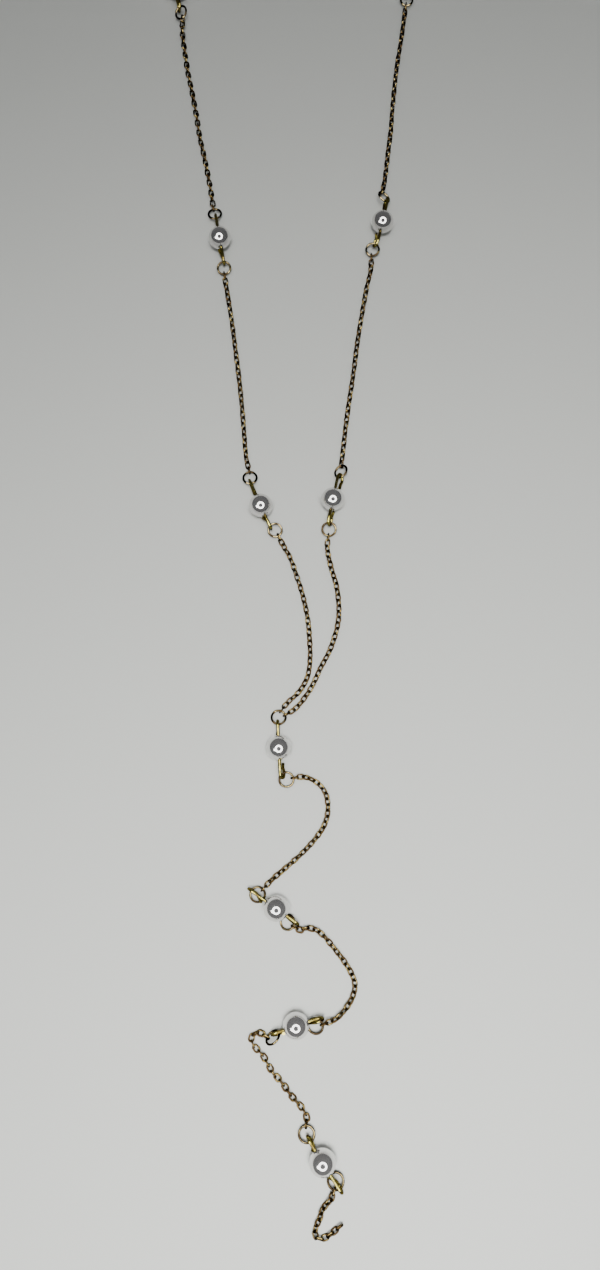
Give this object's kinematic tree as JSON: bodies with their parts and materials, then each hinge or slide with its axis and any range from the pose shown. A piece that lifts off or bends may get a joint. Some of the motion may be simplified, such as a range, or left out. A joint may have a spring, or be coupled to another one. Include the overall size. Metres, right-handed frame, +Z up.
{
  "type": "lariat necklace",
  "caption": "Long fine-chain lariat necklace with spaced round pearls on wire eye pins, its strands meeting at a ring above a pearl drop with a free chain end; lies flat.",
  "frame": {"origin": "middle of the laid-out necklace, on the surface it lies on", "axes": "+Y from the free end of the drop to the clasp, +X to the right strand, +Z up from the surface"},
  "size_m": [0.0746, 0.3849, 0.006],
  "materials": {
    "pearl": "pearl lustre",
    "pin_gold": "polished gold tone",
    "ring_gold": "polished pale gold tone",
    "chain_gold": "darkened gold tone",
    "clasp_gold": "polished gold tone"
  },
  "bodies": {
    "root": {"pearl_left_top": "pearl", "pearl_left_upper": "pearl", "pearl_left_lower": "pearl", "pearl_right_top": "pearl", "pearl_right_upper": "pearl", "pearl_right_lower": "pearl", "pearl_drop_first": "pearl", "pearl_drop_second": "pearl", "pearl_drop_third": "pearl", "pearl_drop_last": "pearl", "eye_pin_left_top": "pin_gold", "eye_pin_left_upper": "pin_gold", "eye_pin_left_lower": "pin_gold", "eye_pin_right_top": "pin_gold", "eye_pin_right_upper": "pin_gold", "eye_pin_right_lower": "pin_gold", "eye_pin_drop_first": "pin_gold", "eye_pin_drop_second": "pin_gold", "eye_pin_drop_third": "pin_gold", "eye_pin_drop_last": "pin_gold", "ring_above_left_top": "ring_gold", "ring_below_left_top": "ring_gold", "ring_above_left_upper": "ring_gold", "ring_below_left_upper": "ring_gold", "ring_above_left_lower": "ring_gold", "ring_below_left_lower": "ring_gold", "ring_above_right_top": "ring_gold", "ring_below_right_top": "ring_gold", "ring_above_right_upper": "ring_gold", "ring_below_right_upper": "ring_gold", "ring_above_right_lower": "ring_gold", "ring_below_right_lower": "ring_gold", "ring_above_drop_first": "ring_gold", "ring_below_drop_first": "ring_gold", "ring_above_drop_second": "ring_gold", "ring_below_drop_second": "ring_gold", "ring_above_drop_third": "ring_gold", "ring_below_drop_third": "ring_gold", "ring_above_drop_last": "ring_gold", "ring_below_drop_last": "ring_gold", "chain_left_back": "chain_gold", "chain_left_top": "chain_gold", "chain_left_middle": "chain_gold", "chain_left_lower": "chain_gold", "chain_right_back": "chain_gold", "chain_right_top": "chain_gold", "chain_right_middle": "chain_gold", "chain_right_lower": "chain_gold", "chain_drop_first": "chain_gold", "chain_drop_second": "chain_gold", "chain_drop_third": "chain_gold", "chain_drop_end": "chain_gold", "clasp": "clasp_gold", "clasp_ring_left": "ring_gold", "clasp_ring_right": "ring_gold"}
  },
  "joints": []
}
